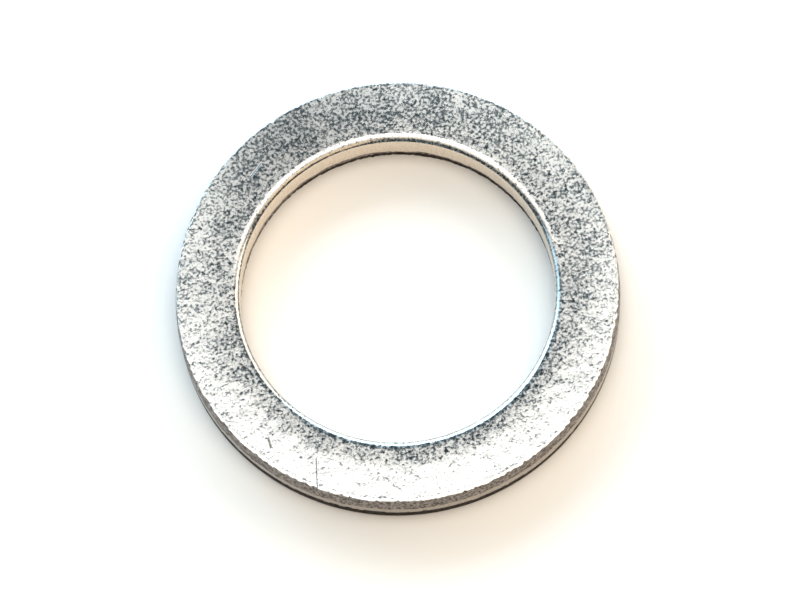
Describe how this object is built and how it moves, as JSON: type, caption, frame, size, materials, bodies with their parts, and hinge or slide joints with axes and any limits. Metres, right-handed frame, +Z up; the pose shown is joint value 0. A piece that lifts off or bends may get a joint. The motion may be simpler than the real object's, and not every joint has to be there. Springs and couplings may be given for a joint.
{
  "type": "flat sealing washer",
  "caption": "Flat round metal sealing washer with a plain bore, stamped in one piece, that seals a drain plug or banjo bolt against its port.",
  "frame": {"origin": "middle of the bore, on the plane of the underside", "axes": "+Z up along the bore's axis, from the underside to the top face; X and Y lie in the plane of the ring, which is the same all round"},
  "size_m": [0.02, 0.02, 0.002],
  "materials": {
    "tumbled_aluminium": "tumbled satin, finely pitted"
  },
  "bodies": {
    "root": {"sealing_washer": "tumbled_aluminium"}
  },
  "joints": []
}
